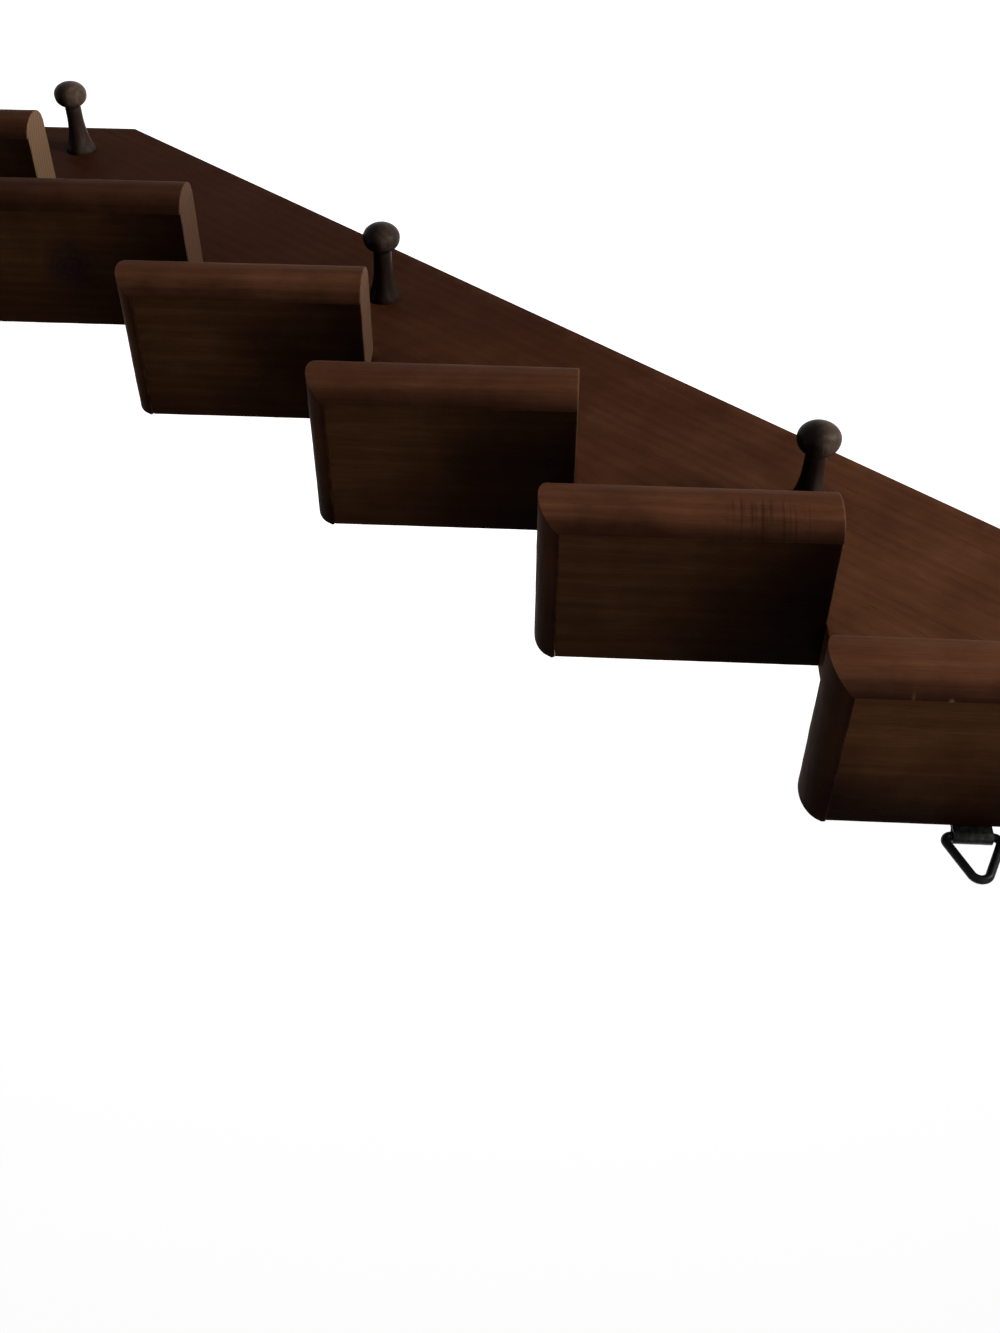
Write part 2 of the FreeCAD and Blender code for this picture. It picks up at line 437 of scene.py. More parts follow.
def roughen(piece: Object, width: float, depth: float) -> None:
    """Gives a piece the slight unevenness that hand tools and long use leave.

    Args:
        piece: The piece.
        width: Width of the hollows, in millimetres.
        depth: Greatest height of the swell, in millimetres.
    """
    cloud = bpy.data.textures.new(f"{piece.name}_swell", "CLOUDS")
    cloud.noise_scale = width * MM
    apply(piece, "DISPLACE", texture=cloud, texture_coords="LOCAL", strength=depth * MM, mid_level=0.5)
    bpy.data.textures.remove(cloud)


def mark_wear(piece: Object) -> None:
    """Writes to each point how sharp the edge under it is, for the rubbed edges of the finish.

    Args:
        piece: The piece.
    """
    mesh = bmesh.new()
    mesh.from_mesh(piece.data)
    folds = [max((e.calc_face_angle(0.0) for e in v.link_edges), default=0.0) for v in mesh.verts]
    mesh.free()
    layer = piece.data.attributes.new("wear", "FLOAT", "POINT")
    layer.data.foreach_set("value", [min(1.0, fold / SHARP) for fold in folds])


def copy_piece(piece: Object, name: str, shift: Vector) -> Object:
    """Copies a piece with its own mesh and moves that mesh.

    Args:
        piece: The piece to copy.
        name: Name of the copy.
        shift: Move of the copy's mesh, in metres.

    Returns:
        The copy.
    """
    to_object_mode()
    twin = piece.copy()
    twin.data = piece.data.copy()
    twin.name = name
    twin.data.name = name
    bpy.context.collection.objects.link(twin)
    open_mesh(twin)
    move_all(shift)
    bpy.ops.object.mode_set(mode="OBJECT")
    return twin


def enlist(piece: Object, node: str, material: Material, body: str = "frame") -> None:
    """Gives a finished piece its material, sets it on its body and lets it stand for its node.

    Args:
        piece: The piece.
        node: CAD node that it replaces.
        material: Its finish.
        body: Body that it rides on.
    """
    to_object_mode()
    piece.data.materials.clear()
    piece.data.materials.append(material)
    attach(piece, body)
    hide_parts(node)
    log.info("%s stands for %s on %s, %d faces", piece.name, node, body, len(piece.data.polygons))


# Finishes

class Grain(Enum):
    """Way the grain runs: the turn that brings it to X."""

    ALONG_TREAD = (0.0, 0.0, 0.0)
    ALONG_DEPTH = (0.0, 0.0, -math.pi / 2)
    UP_THE_STAIR = (0.0, -math.atan2(Stair.rise, Stair.run), 0.0)


class MarkKind(Enum):
    """Kinds of single marks on a wooden piece."""

    KNOT = (0.85, 0.5, -0.2)
    SMUDGE = (0.5, 0.25, 0.0)
    CHIP = (0.85, 0.4, -0.7)
    SCRATCHES = (0.6, 0.7, -0.7)
    END = (0.95, 0.4, 0.0)

    def __init__(self, share: float, core_share: float, sink: float) -> None:
        """Keeps the parts of the value under their names.

        Args:
            share: Greatest share of the mark's colour.
            core_share: Share of its reach in which it is strongest.
            sink: Height that the mark adds to the figure.
        """
        self.share = share
        self.core_share = core_share
        self.sink = sink


@dataclass(frozen=True)
class Mark:
    """One mark that the wood carries at a known place."""

    kind: MarkKind
    place: Point  # Its centre, in millimetres
    reach: float  # Its half width along X, in millimetres
    tone: str
    tall: float = 1.0  # How many times as high as wide it is
    ring_mm: float = 3.39  # Spacing of the rings of a knot or of end grain
    heart: Point = (0.0, 24.0, 60.0)  # Way from the tree's heart to end grain, in millimetres
    ragged_share: float = 0.9  # Share of its reach by which noise shifts the rim of a patch

    def moved(self, shift: Point) -> "Mark":
        """The same mark at another place."""
        return replace(self, place=tuple(a + b for a, b in zip(self.place, shift)))

    def lay(self, node: AddNode, place: Socket, colour: Socket, height: Socket) -> tuple[Socket, Socket]:
        """Lays the mark over the colour and height of the wood.

        Args:
            node: Function that adds nodes.
            place: Object coordinates.
            colour: Colour so far.
            height: Height so far.

        Returns:
            Colour and height with the mark.
        """
        near = node("VectorMath", {0: place, 1: mm(*self.place)}, operation="SUBTRACT")
        near = node("VectorMath", {0: near, "Scale": 1 / MM}, operation="SCALE")
        ragged = node("TexNoise", {"Vector": near, "Scale": 1.6 / self.reach, "Detail": 3.0})
        own = {MarkKind.END: self.end_grain, MarkKind.SCRATCHES: self.scratches}
        mask = own.get(self.kind, self.spot)(node, near, ragged)
        colour = node("Mix", {0: mask, 6: colour, 7: linear(self.tone)}, 2, data_type="RGBA")
        height = node("Math", {0: mask, 1: self.kind.sink, 2: height}, operation="MULTIPLY_ADD")
        return colour, height

    def end_grain(self, node: AddNode, near: Socket, ragged: Socket) -> Socket:
        """Shows growth rings cut across, as faint arcs on the face at the mark's place.

        Args:
            node: Function that adds nodes.
            near: Place from the mark's centre, in millimetres.
            ragged: Noise of the mark.

        Returns:
            Share of the mark's colour.
        """
        heart = node("VectorMath", {0: near, 1: self.heart}, operation="ADD")
        arcs = node("TexWave", {
            "Vector": heart, "Scale": WAVE / self.ring_mm, "Distortion": 2.0, "Detail": 2.0}, 1,
            wave_type="RINGS", rings_direction="X")
        arcs = node("Math", {0: arcs, 1: 0.35, 2: ragged}, operation="MULTIPLY_ADD")
        share = node("MapRange", {0: arcs, 1: 0.4, 2: 0.95, 3: self.kind.share, 4: 0.45})
        side = node("SeparateXYZ", {0: near}, "X")
        return node("MapRange", {
            0: side, 1: self.reach, 2: self.reach * self.kind.core_share, 3: 0.0, 4: share})

    def scratches(self, node: AddNode, near: Socket, ragged: Socket) -> Socket:
        """Draws lines across a strip, sized in millimetres, that end raggedly about 7 mm down its face.

        Args:
            node: Function that adds nodes.
            near: Place from the mark's centre, in millimetres.
            ragged: Noise of the mark, which the lines don't need.

        Returns:
            Share of the mark's colour.
        """
        width, length = 1.613, 33.3
        drawn = node("VectorMath", {0: near, 1: (1 / width, 1 / length, 1 / length)}, operation="MULTIPLY")
        noise = node("TexNoise", {"Vector": drawn, "Scale": 1.0, "Detail": 2.0})
        lines = node("MapRange", {0: noise, 1: 0.46, 2: 0.68, 3: 0.0, 4: self.kind.share})
        sides = node("SeparateXYZ", {0: near}).node.outputs
        fall = node("Math", {0: noise, 1: 9.0, 2: sides[2]}, operation="MULTIPLY_ADD")
        fall = node("MapRange", {0: fall, 1: -3.5, 2: 0.5, 3: 0.0, 4: 1.0})
        side = node("Math", {0: sides[0]}, operation="ABSOLUTE")
        area = node("MapRange", {
            0: side, 1: self.reach, 2: self.reach * self.kind.core_share, 3: 0.0, 4: fall})
        return node("Math", {0: lines, 1: area}, operation="MULTIPLY")

    def spot(self, node: AddNode, near: Socket, ragged: Socket) -> Socket:
        """Makes a ragged round patch, with whorls if it is a knot.

        Args:
            node: Function that adds nodes.
            near: Place from the mark's centre, in millimetres.
            ragged: Noise of the mark.

        Returns:
            Share of the mark's colour.
        """
        gap = node("VectorMath", {0: near, 1: (1.0, 1 / self.tall, 1 / self.tall)}, operation="MULTIPLY")
        gap = node("VectorMath", {0: gap}, "Value", operation="LENGTH")
        gap = node("Math", {0: ragged, 1: self.reach * self.ragged_share, 2: gap}, operation="MULTIPLY_ADD")
        # The noise is a half on average
        rim = self.reach * (1 + self.ragged_share / 2)
        mask = node("MapRange", {
            0: gap, 1: rim, 2: rim * self.kind.core_share, 3: 0.0, 4: self.kind.share})
        if self.kind is MarkKind.KNOT:
            whorl = node("Math", {0: gap, 1: math.tau / self.ring_mm}, operation="MULTIPLY")
            whorl = node("Math", {0: whorl}, operation="SINE")
            whorl = node("MapRange", {0: whorl, 1: -1.0, 2: 1.0, 3: 0.7, 4: 1.0})
            mask = node("Math", {0: mask, 1: whorl}, operation="MULTIPLY")
        return mask


@dataclass(frozen=True)
class PaintedShade:
    """Side of a piece that is drawn darker: painted shade, standing in for the shade that falls in corners,
    towards the wall and on sides turned from the light; on a front strip's crease it is partly dirt as
    well.
    """

    axis: Axis  # Axis along which it thins out
    darkest: float  # Place where the painted shade is darkest, in millimetres in the shared frame
    faded: float  # Place where the painted shade fades out
    depth: float  # Share of the colour that it takes away
    over: float | None = None  # Height that it lies above, or None where it covers every face
    over_fade: float = 1.0  # Height over which it comes in there
    ragged_share: float = 0.5  # Share of its reach by which the clouds of the stain shift it

    def lay(self, node: AddNode, axes: Sequence[Socket], cloud: Socket, colour: Socket, shade_colour: str) -> Socket:
        """Darkens the colour of the wood with the painted shade.

        Args:
            node: Function that adds nodes.
            axes: Object coordinates.
            cloud: Clouds of the stain.
            colour: Colour so far.
            shade_colour: Colour of the painted shade.

        Returns:
            Colour with the painted shade.
        """
        reach = (self.faded - self.darkest) * MM
        start = self.darkest * MM + reach * self.ragged_share / 2
        there = node("Math", {0: cloud, 1: reach * self.ragged_share, 2: axes[self.axis]},
                     operation="MULTIPLY_ADD")
        left = node("MapRange", {0: there, 1: start, 2: start + reach, 3: self.depth, 4: 0.0},
                    interpolation_type="SMOOTHSTEP")
        if self.over is not None:
            left = node("MapRange", {
                0: axes[Axis.Z], 1: self.over * MM, 2: (self.over + self.over_fade) * MM, 3: 0.0, 4: left})
        return node("Mix", {0: left, 6: colour, 7: linear(shade_colour)}, 2, data_type="RGBA")


@dataclass(frozen=True)
class PlanedWood:
    """Close-grained wood, planed, and as a rule stained and waxed.

    The stain sinks into the pores and the soft early wood and leaves fine dark lines along the grain.
    The waxed finish is satin, so lights show as broad pale sheens and never as sharp spots.
    """

    name: str
    deep: str  # Colour of pores and dark lines
    body: str  # Main colour
    pale: str  # Colour of the hard light lines and of rubbed edges
    ring_mm: float = 4.2  # Spacing of the growth rings
    fibre_mm: float = 0.6  # Width of a fine streak
    band_mm: float = 2.6  # Width of a broad streak
    pore_mm: float = 0.35  # Width of a pore, drawn about twice as wide as it is so that it shows
    cloud_mm: float = 28.57  # Width of the clouds in which the stain took
    patch_mm: float = 6.25  # Width of the patches in which edges are rubbed
    spread: float = 0.5  # Distance of the deep and the pale colour from the middle of the figure
    figure_shares: Point = (0.14, 0.4, 0.46)  # Shares of rings, broad and fine streaks in the figure
    cloud_share: float = 0.22  # How much the clouds lighten and darken
    pore_share: float = 0.3  # Share of the deep colour in a pore
    heart: Point = (0.0, 21.0, 55.0)  # Way from the tree's heart to the piece, in millimetres
    lean: Point = (0.0, 0.035, 0.05)  # Lean of the heart against the grain, in radians
    relief_mm: float = 0.15  # Height of the figure under the wax
    roughness: float = 0.55
    gloss: float = 0.008  # Specular level of the waxed finish
    rub: float = 0.6  # Share of the pale wood on rubbed edges
    shade_colour: str = "#0b0302"  # Colour of the painted shade

    def material(self, name: str, grain: Grain, shift: Point = (0.0, 0.0, 0.0), marks: Sequence[Mark] = (),
                 painted_shades: Sequence[PaintedShade] = (), tone: float = 1.0) -> Material:
        """Makes the finish for one piece.

        Args:
            name: Name of the material.
            grain: Way the grain runs.
            shift: Shift of the figure in millimetres, so that no two pieces are alike.
            marks: Single marks on the piece.
            painted_shades: Painted shade: where the piece is drawn darker, standing in for shade.
            tone: How much lighter or darker the piece is drawn; on panels and return strips this is painted
                light and shade.

        Returns:
            The material.
        """
        made, node = start_finish(name)
        place = node("TexCoord", out="Object")
        along = node("Mapping", {
            "Vector": place, "Location": shift, "Rotation": grain.value, "Scale": (1 / MM,) * 3})

        # Fine and broad streaks, many times as long as they are wide
        streaks = []
        for width, stretch, detail in ((self.fibre_mm, 0.05, 4.0), (self.band_mm, 0.06, 3.0)):
            drawn = node("VectorMath", {0: along, 1: (stretch / width, 1 / width, 1 / width)},
                         operation="MULTIPLY")
            streaks.append(node("TexNoise", {
                "Vector": drawn, "Scale": 1.0, "Detail": detail, "Roughness": 0.6, "Distortion": 0.25}))
        fibre, bands = streaks

        # Growth rings round a heart far below the piece, drawn out along the grain
        tilt = node("Mapping", {
            "Vector": along, "Location": self.heart, "Rotation": self.lean, "Scale": (0.05, 1.0, 1.0)})
        rings = node("TexWave", {
            "Vector": tilt, "Scale": WAVE / self.ring_mm, "Distortion": 9.0, "Detail": 3.0,
            "Detail Scale": 1.1, "Detail Roughness": 0.6}, 1,
            wave_type="RINGS", rings_direction="X", wave_profile="SIN")

        # Pores are short dark dashes, ten times as long as they are wide
        across = 0.6 / self.pore_mm
        dashes = node("VectorMath", {0: along, 1: (across / 10, across, across)}, operation="MULTIPLY")
        dashes = node("TexNoise", {"Vector": dashes, "Scale": 1.0, "Detail": 1.0})
        pores = node("MapRange", {0: dashes, 1: 0.6, 2: 0.74, 3: 0.0, 4: 1.0})

        # The stain took unevenly, in clouds
        cloud = node("TexNoise", {
            "Vector": along, "Scale": 1 / self.cloud_mm, "Detail": 4.0, "Roughness": 0.6})

        figure: Socket | float = 0.0
        for layer, share in zip((rings, bands, fibre), self.figure_shares):
            figure = node("Math", {0: layer, 1: share, 2: figure}, operation="MULTIPLY_ADD")
        colour = node("ValToRGB", {0: figure}, stops=(
            (0.5 - self.spread, self.deep), (0.5 + self.spread, self.pale), (0.5, self.body)))
        shade = node("MapRange", {
            0: cloud, 1: 0.3, 2: 0.7, 3: (1 - self.cloud_share) * tone, 4: (1 + self.cloud_share) * tone})
        colour = node("VectorMath", {0: colour, "Scale": shade}, operation="SCALE")
        filled = node("Math", {0: pores, 1: self.pore_share}, operation="MULTIPLY")
        colour = node("Mix", {0: filled, 6: colour, 7: linear(self.deep)}, 2, data_type="RGBA")

        # Painted shade: darker in corners, towards the wall and on sides turned from the light, ragged by
        # the clouds of the stain
        axes = node("SeparateXYZ", {0: place}).node.outputs
        for painted_shade in painted_shades:
            colour = painted_shade.lay(node, axes, cloud, colour, self.shade_colour)

        # Edges are rubbed through to the pale wood, in patches
        wear = node("Attribute", out="Fac", attribute_name="wear")
        patch = node("TexNoise", {"Vector": along, "Scale": 1 / self.patch_mm, "Detail": 4.0})
        patch = node("MapRange", {0: patch, 1: 0.46, 2: 0.7, 3: 0.0, 4: self.rub})
        rubbed = node("Math", {0: wear, 1: patch}, operation="MULTIPLY")
        colour = node("Mix", {0: rubbed, 6: colour, 7: linear(self.pale)}, 2, data_type="RGBA")

        height = node("Math", {0: pores, 1: -0.8, 2: figure}, operation="MULTIPLY_ADD")
        for mark in marks:
            colour, height = mark.lay(node, place, colour, height)

        rough = node("MapRange", {
            0: fibre, 1: 0.3, 2: 0.7, 3: self.roughness - 0.08, 4: self.roughness + 0.1})
        bump = node("Bump", {"Height": height, "Strength": 0.35, "Distance": self.relief_mm * MM})
        shader = node("BsdfPrincipled", {
            "Base Color": colour, "Roughness": rough, "Normal": bump, "IOR": 1.5,
            "Specular IOR Level": self.gloss})
        node("OutputMaterial", {"Surface": shader})
        return made


@dataclass(frozen=True)
class BlackenedSteel:
    """Mild steel, bent or pressed and then blackened with oil.

    The black layer is thin and a little rubbed, so bare metal shows as dull grey patches.
    """

    name: str = "blackened_steel"
    black: str = "#080808"
    bare: str = "#2a2826"
    grit_mm: float = 1.1  # Size of the mottle
    relief_mm: float = 0.05  # Height of the mottle
    roughness: float = 0.46

    def material(self) -> Material:
        """Makes the finish.

        Returns:
            The material.
        """
        made, node = start_finish(self.name)
        place = node("TexCoord", out="Object")
        mottle = node("TexNoise", {
            "Vector": place, "Scale": 0.5 / (self.grit_mm * MM), "Detail": 5.0, "Roughness": 0.65})
        wear = node("Attribute", out="Fac", attribute_name="wear")
        rubbed = node("Math", {0: wear, 1: 0.16, 2: mottle}, operation="MULTIPLY_ADD")
        colour = node("ValToRGB", {0: rubbed}, stops=((0.56, self.black), (0.85, self.bare)))
        rough = node("MapRange", {
            0: mottle, 1: 0.3, 2: 0.7, 3: self.roughness + 0.1, 4: self.roughness - 0.1})
        bump = node("Bump", {"Height": mottle, "Strength": 0.2, "Distance": self.relief_mm * MM})
        shader = node("BsdfPrincipled", {
            "Base Color": colour, "Metallic": 0.25, "Roughness": rough, "Normal": bump,
            "Specular IOR Level": 0.1})
        node("OutputMaterial", {"Surface": shader})
        return made


# Walnut of a wide board, stained red brown, dull and even, and drawn darker towards its foot as painted
# shade
BOARD_WOOD = PlanedWood("board_walnut", "#352015", "#4c2e1d", "#5b3c29", ring_mm=6.5, band_mm=4.0,
                        shade_colour="#280c04")
# Walnut of the panels, darker and less red than the strips, with plain lines along the tread
PANEL_WOOD = PlanedWood("panel_walnut", "#2b190d", "#422817", "#593d27", ring_mm=4.0, rub=0.15)
# Walnut of the moulded strips, paler than the panels
NOSING_WOOD = PlanedWood("nosing_walnut", "#341c11", "#4d2e1e", "#62412e", ring_mm=5.0, rub=0.15)
# Maple turned on the lathe and stained, drawn a pale grey brown as a painted sheen of the light on its lit
# side, and a little glossier than the rest
PEG_WOOD = PlanedWood("peg_maple", "#231812", "#41342b", "#65584f", ring_mm=3.0, fibre_mm=0.4, band_mm=1.6,
                      gloss=0.03, roughness=0.34)
# Bare beech of the dowels, pale and plain
DOWEL_WOOD = PlanedWood("dowel_beech", "#a9875f", "#c9a87c", "#dcc29a", ring_mm=1.8, spread=1 / 3,
                        gloss=0.03)
# Steel of rings, straps and screws
STEEL = BlackenedSteel()


# Pieces

@dataclass
class Board:
    """Sawtooth board that carries the treads and the pegs."""

    stair: Stair
    long_round: float = 1.2  # Rounding of the straight slanting edge, in millimetres
    arris: float = 0.35  # Easing of the other front edges
    arris_steps: int = 2
    cell: float = 7.0  # Spacing of the points on its faces
    rim: float = 3.0  # Distance of the outermost points from its ends
    peg_bore: float = 3.25  # Radius of a peg's hole
    peg_bore_depth: float = 12.0
    dowel_bore_depth: float = 16.5
    painted_shade: PaintedShade = PaintedShade(Axis.Z, darkest=-60.0, faded=175.0, depth=0.62)  # Painted shade: darker towards its foot, standing in for the light falling off far from the lamp

    def outline(self) -> list[Vector]:
        """Works out the corners of the board.

        Returns:
            The corners on the wall plane, in metres.
        """
        s = self.stair
        foot = s.seat(0)
        corners = [(s.edge(foot), foot), (s.inner(0), foot)]
        for step in range(1, s.steps + 1):
            corners += [(s.inner(step - 1), s.seat(step)), (s.inner(step), s.seat(step))]
        top_x = s.inner(s.steps)
        corners.append((top_x, -(top_x + s.band / 2) * s.rise / s.run))
        return [mm(x, 0, z) for x, z in corners]

    def build(self) -> Object:
        """Saws the outline, gives it its thickness, eases its edges and drills it.

        Returns:
            The board.
        """
        thick = self.stair.board * MM
        piece = start_line("stringer_board", self.outline())
        bpy.ops.mesh.select_all(action="SELECT")
        bpy.ops.mesh.edge_face_add()
        extrude_all(Vector((0, -thick, 0)))
        face_outwards()

        def is_long(a: Vector, b: Vector) -> bool:
            """Tells the slanting edge of the front from the others."""
            slanted = abs(a.x - b.x) > thick and abs(a.z - b.z) > thick
            return slanted and max(a.y, b.y) < -thick / 2

        pick_edges(is_long)
        ease(self.long_round)
        pick_edges(lambda a, b: max(a.y, b.y) < NEAR - thick and not is_long(a, b))
        ease(self.arris, self.arris_steps, clamp=True)
        close_up()
        self.drill(piece)
        low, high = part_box("stringer")
        open_mesh(piece)
        for axis in (Axis.X, Axis.Z):
            slice_mesh(axis, low[axis], high[axis], self.cell, self.rim)
        close_up()
        mark_wear(piece)
        return piece

    def drill(self, piece: Object) -> None:
        """Bores the blind holes for pegs and dowels.

        Args:
            piece: The board.
        """
        s = self.stair
        face, middle = -s.board, -s.board / 2
        holes = [((x, face - OVERRUN, z), (x, face + self.peg_bore_depth, z), self.peg_bore)
                 for x, z in s.peg_places()]
        for step in range(1, s.steps + 1):
            seat = s.seat(step)
            holes += [((x, middle, seat - self.dowel_bore_depth), (x, middle, seat + OVERRUN), s.dowel)
                      for x in s.dowel_places(step)]
        bore(piece, holes)

    def dress(self, piece: Object) -> None:
        """Stains the board, paints its shade and enlists it."""
        finish = BOARD_WOOD.material(BOARD_WOOD.name, Grain.UP_THE_STAIR, painted_shades=[self.painted_shade])
        enlist(piece, "stringer", finish)


@dataclass(frozen=True)
class TreadLook:
    """What one kind of piece of a tread is called and how it looks."""

    name: str
    node: str  # Name of their CAD nodes
    slot: str  # Material slot
    finish: PlanedWood
    grain: Grain
    swell: float  # Unevenness of their faces, in millimetres
    tones: tuple[float, ...]  # How much lighter or darker each piece is drawn, from the lowest step up; on panels and return strips this is painted light and shade


class TreadPiece(Enum):
    """The pieces of a tread."""

    # Tones: the panels of the middle steps are drawn darker and the top one lighter, as painted shade and
    # light; the return strips, turned from the light, are drawn darker than the front strips, as painted
    # shade
    PANEL = TreadLook("tread_board", "tread_panel", "panel_wood", PANEL_WOOD, Grain.ALONG_TREAD,
                      swell=0.16, tones=(1.0, 0.6, 0.64, 0.64, 0.72, 1.05))
    FRONT = TreadLook("front_nose", "front_nosing", "nosing_wood", NOSING_WOOD, Grain.ALONG_TREAD,
                      swell=0.22, tones=(0.8, 0.65, 1.05, 0.9, 0.95, 1.05))
    RETURN = TreadLook("return_nose", "return_nosing", "nosing_wood", NOSING_WOOD, Grain.ALONG_DEPTH,
                       swell=0.22, tones=(0.7, 0.7, 0.8, 0.48, 0.6, 0.45))


# Marks that single pieces carry, placed from the inner back corner of their seat
TREAD_MARKS = {
    "tread_board_2": [Mark(MarkKind.KNOT, (51.85, -28.9, 22.6), reach=14.0, tone="#180f14")],
    "tread_board_4": [Mark(MarkKind.SMUDGE, (38.35, -33.0, 22.6), reach=15.0, tone="#170f0a")],
    "front_nose_5": [Mark(MarkKind.SCRATCHES, (23.05, -56.0, 19.4), reach=15.0, tone="#1c0f09")],
    "front_nose_6": [Mark(MarkKind.CHIP, (72.65, -54.6, 23.0), reach=0.75, tone="#513628", tall=2.4),
                     Mark(MarkKind.CHIP, (62.25, -53.8, 23.6), reach=1.1, tone="#6e523c")],
}
# Colour of the inner end faces, from the lowest step up: end grain, drawn pale as a painted highlight where
# light falls on the inner ends, palest on the lowest step
END_TONES = ("#82684f", "#5c4436", "#5c4436", "#4a3428", "#4a3428", "#4a3428")


@dataclass
class Tread:
    """The treads, each with a panel, a strip along its front and a strip across its free end."""

    stair: Stair
    arris: float = 0.5  # Easing of the panel's edges, in millimetres
    arris_steps: int = 3
    quirk: float = 0.6  # Rounding of a strip's upper back edge
    front_round: float = 0.7  # Rounding of the front strip's end
    back_round: float = 1.5  # Rounding of the return strip's end at the wall
    facets: int = 72  # Points round a whole strip section
    cell: float = 4.0  # Spacing of the points on the panel
    rim: float = 1.4  # Distance of the outermost points from the panel's ends
    strip_cell: float = 1.0  # Spacing of the points along a strip
    dowel_bore_depth: float = 12.5
    pilot: float = 1.55  # Radius of a hanger screw's hole
    pilot_depth: float = 10.7
    swell_width: float = 9.0  # Width of the hollows that use has left
    end_reach: float = 0.5  # Depth of the pale colour of the end face, a painted highlight
    end_ring: float = 3.0  # Spacing of the rings in the end grain
    figure_start: Point = (0.0, 11.0, 0.0)  # Shift of the figure before the first step
    figure_step: Point = (61.0, 37.0, 23.0)  # Shift of the figure from step to step

    @property
    def front_start(self) -> Vector:
        """Inner end of the first front strip's lower back edge, in metres."""
        return mm(self.stair.inner(1), -self.stair.panel_depth, self.stair.seat(1))

    def panel(self) -> Object:
        """Planes the panel of the first step from a block.

        Returns:
            The panel.
        """
        s = self.stair
        size = mm(s.panel_length, s.panel_depth, s.tread_thickness)
        low = self.front_start
        high = low + size
        piece = add_block(f"{TreadPiece.PANEL.value.name}_1", (low + high) / 2, size)
        open_mesh(piece)

        def is_worn(a: Vector, b: Vector) -> bool:
            """Finds the upper edges at the inner end and at the wall."""
            at_end = max(a.x, b.x) < low.x + NEAR or min(a.y, b.y) > -NEAR
            return at_end and min(a.z, b.z) > high.z - NEAR

        pick_edges(is_worn)
        ease(self.arris, self.arris_steps)
        for axis in Axis:
            slice_mesh(axis, low[axis], high[axis], self.cell, self.rim)
        close_up()
        return piece

    def strip(self, name: str, length: float, end: float, end_round: float) -> Object:
        """Moulds a straight strip along +X from a half-elliptic section, its back on Y = 0.

        Args:
            name: Name of the piece.
            length: Its length, in millimetres.
            end: X of the end that stays when the other one is mitred.
            end_round: Rounding of that end.

        Returns:
            The strip, open in edit mode, its lower back edge on Z = 0.
        """
        s = self.stair
        half = (s.tread_thickness + s.proud) / 2
        to_object_mode()
        bpy.ops.mesh.primitive_circle_add(
            vertices=self.facets, radius=MM, fill_type="NGON", rotation=(0, math.pi / 2, 0))
        piece = name_piece(name)
        open_mesh(piece)
        bpy.ops.mesh.select_all(action="SELECT")
        bpy.ops.transform.resize(value=(1, s.projection, half))
        move_all(mm(0, 0, half))
        bpy.ops.mesh.bisect(plane_co=(0, 0, 0), plane_no=(0, 1, 0), clear_outer=True)
        extrude_all(mm(length, 0, 0))
        face_outwards()
        top = 2 * half * MM
        pick_edges(lambda a, b: min(a.z, b.z) > top - NEAR and min(a.y, b.y) > -NEAR)
        ease(self.quirk)
        pick_edges(lambda a, b: abs(a.x - b.x) > length / 2 * MM)
        bpy.ops.mesh.subdivide(number_cuts=round(length / self.strip_cell))

        def is_end(a: Vector, b: Vector) -> bool:
            """Finds the moulded outline of the end that stays."""
            return max(abs(a.x - end * MM), abs(b.x - end * MM)) < NEAR and min(a.y, b.y) < -NEAR

        pick_edges(is_end)
        ease(end_round)
        return piece

    def front(self) -> Object:
        """Makes the front strip of the first step, mitred at its free end.

        Returns:
            The strip.
        """
        s = self.stair
        piece = self.strip(f"{TreadPiece.FRONT.value.name}_1", s.tread_length, 0.0, self.front_round)
        move_all(self.front_start)
        self.mitre((1, 1, 0))
        return piece

    def side(self) -> Object:
        """Makes the return strip of the first step, mitred to the front strip.

        Returns:
            The strip.
        """
        s = self.stair
        name = f"{TreadPiece.RETURN.value.name}_1"
        piece = self.strip(name, s.tread_depth, s.tread_depth, self.back_round)
        take_up(piece)
        piece.rotation_euler.z = math.pi / 2
        bpy.ops.object.transform_apply(location=True, rotation=True, scale=True)
        open_mesh(piece)
        move_all(mm(s.inner(1) + s.panel_length, -s.tread_depth, s.seat(1)))
        self.mitre((-1, -1, 0))
        return piece

    def mitre(self, waste: Point) -> None:
        """Trims the open strip along the mitre of the free corner and finishes its mesh.

        Args:
            waste: Side of the mitre that falls off.
        """
        corner = self.front_start + mm(self.stair.panel_length, 0, 0)
        bpy.ops.mesh.select_all(action="SELECT")
        bpy.ops.mesh.bisect(plane_co=corner, plane_no=waste, use_fill=True, clear_outer=True)
        close_up()

    def build(self) -> dict[TreadPiece, list[Object]]:
        """Makes each piece for the first step and copies it to the others.

        Returns:
            The pieces of each kind, from the lowest step up.
        """
        s = self.stair
        makers = {TreadPiece.PANEL: self.panel, TreadPiece.FRONT: self.front, TreadPiece.RETURN: self.side}
        made = {kind: [make()] for kind, make in makers.items()}
        for kind, pieces in made.items():
            for step in range(2, s.steps + 1):
                shift = mm(s.inner(step) - s.inner(1), 0, s.seat(step) - s.seat(1))
                pieces.append(copy_piece(pieces[0], f"{kind.value.name}_{step}", shift))
        return made

    def drill(self, piece: Object, step: int) -> None:
        """Bores a panel for its dowels, and for a hanger screw on the end steps.

        Args:
            piece: The panel.
            step: Its step.
        """
        s = self.stair
        middle, seat = -s.board / 2, s.seat(step)
        holes = [((x, middle, seat - OVERRUN), (x, middle, seat + self.dowel_bore_depth), s.dowel)
                 for x in s.dowel_places(step)]
        if step in (1, s.steps):
            hanger = Hanger(s, step)
            x, z = hanger.x, hanger.screw_z
            holes.append(((x, OVERRUN, z), (x, -self.pilot_depth, z), self.pilot))
        bore(piece, holes)

